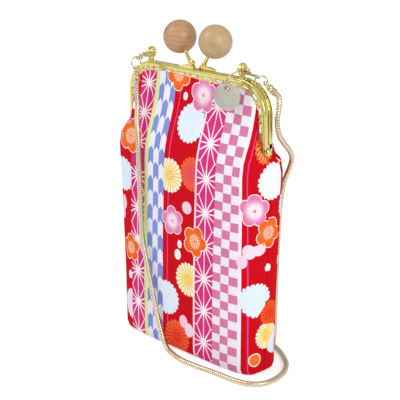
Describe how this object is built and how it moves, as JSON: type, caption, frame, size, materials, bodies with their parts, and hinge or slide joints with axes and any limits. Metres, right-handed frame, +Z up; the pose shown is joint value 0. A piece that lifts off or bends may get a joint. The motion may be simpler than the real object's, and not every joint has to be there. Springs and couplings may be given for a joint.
{
  "type": "phone purse",
  "caption": "Tall clasp-frame phone purse of patterned cloth, with a kiss lock of wooden balls, a chain strap on clasps and a disc charm.",
  "frame": {"origin": "middle of the bag's flat base, on the surface it stands on", "axes": "+X along the clasp frame to the right, -Y the front, +Z up to the wooden balls"},
  "size_m": [0.1334, 0.0939, 0.2045],
  "materials": {
    "gold_plated_frame": "bright yellow gold plating on pressed and cast metal",
    "pale_gold_fittings": "pale gold plated small castings and rings",
    "snake_chain": "pale gold snake chain of fine close links",
    "charm_metal": "grey champagne metal, plain struck disc",
    "brown_wood": "turned reddish brown wood, waxed",
    "pale_wood": "turned tan wood with fine grain arcs, waxed",
    "printed_cotton": "red printed cotton with traditional stripes and flowers",
    "lining_cotton": "plain red cotton lining"
  },
  "bodies": {
    "root": {"front_frame": "gold_plated_frame", "left_rivet": "gold_plated_frame", "right_rivet": "gold_plated_frame", "front_lock_stem": "gold_plated_frame", "left_wood_ball": "brown_wood", "left_strap_loop": "gold_plated_frame", "right_strap_loop": "gold_plated_frame", "left_clasp_body": "pale_gold_fittings", "left_clasp_pin": "pale_gold_fittings", "right_clasp_body": "pale_gold_fittings", "right_clasp_pin": "pale_gold_fittings", "left_jump_ring": "pale_gold_fittings", "right_jump_ring": "pale_gold_fittings", "left_chain_cap": "pale_gold_fittings", "right_chain_cap": "pale_gold_fittings", "left_strap_chain": "snake_chain", "right_strap_chain": "snake_chain", "strap_coil": "snake_chain", "outer_bag": "printed_cotton", "lining_bag": "lining_cotton"},
    "back_half": {"back_frame": "gold_plated_frame", "back_lock_stem": "gold_plated_frame", "right_wood_ball": "pale_wood", "back_mouth_fabric": "printed_cotton", "back_mouth_lining": "lining_cotton"},
    "left_lever": {"left_clasp_lever": "pale_gold_fittings"},
    "right_lever": {"right_clasp_lever": "pale_gold_fittings"},
    "charm_link": {"charm_ring": "pale_gold_fittings"},
    "charm": {"charm_disc": "charm_metal"}
  },
  "joints": [
    {"name": "frame_hinge", "type": "hinge", "parent": "root", "child": "back_half", "pos_m": [0, 0, 0.137], "axis": [-1, 0, 0], "range_deg": [0, 75], "deforming": ["back_mouth_fabric", "back_mouth_lining"]},
    {"name": "left_lever_pivot", "type": "hinge", "parent": "root", "child": "left_lever", "pos_m": [-0.04127, -0.00643, 0.18099], "axis": [0, 0.2501, -0.9682], "range_deg": [0, 10], "stiffness_Nm_per_rad": 0.02},
    {"name": "right_lever_pivot", "type": "hinge", "parent": "root", "child": "right_lever", "pos_m": [0.04193, -0.00002, 0.18127], "axis": [0, -0.6606, -0.7507], "range_deg": [0, 10], "stiffness_Nm_per_rad": 0.02},
    {"name": "charm_ring_swing", "type": "hinge", "parent": "root", "child": "charm_link", "pos_m": [0.039, -0.00255, 0.18128], "axis": [0.9659, -0.2588, 0], "range_deg": [-60, 0]},
    {"name": "charm_disc_swing", "type": "hinge", "parent": "charm_link", "child": "charm", "pos_m": [0.03658, -0.01159, 0.17285], "axis": [0.9659, -0.2588, 0], "range_deg": [-60, 20]}
  ]
}
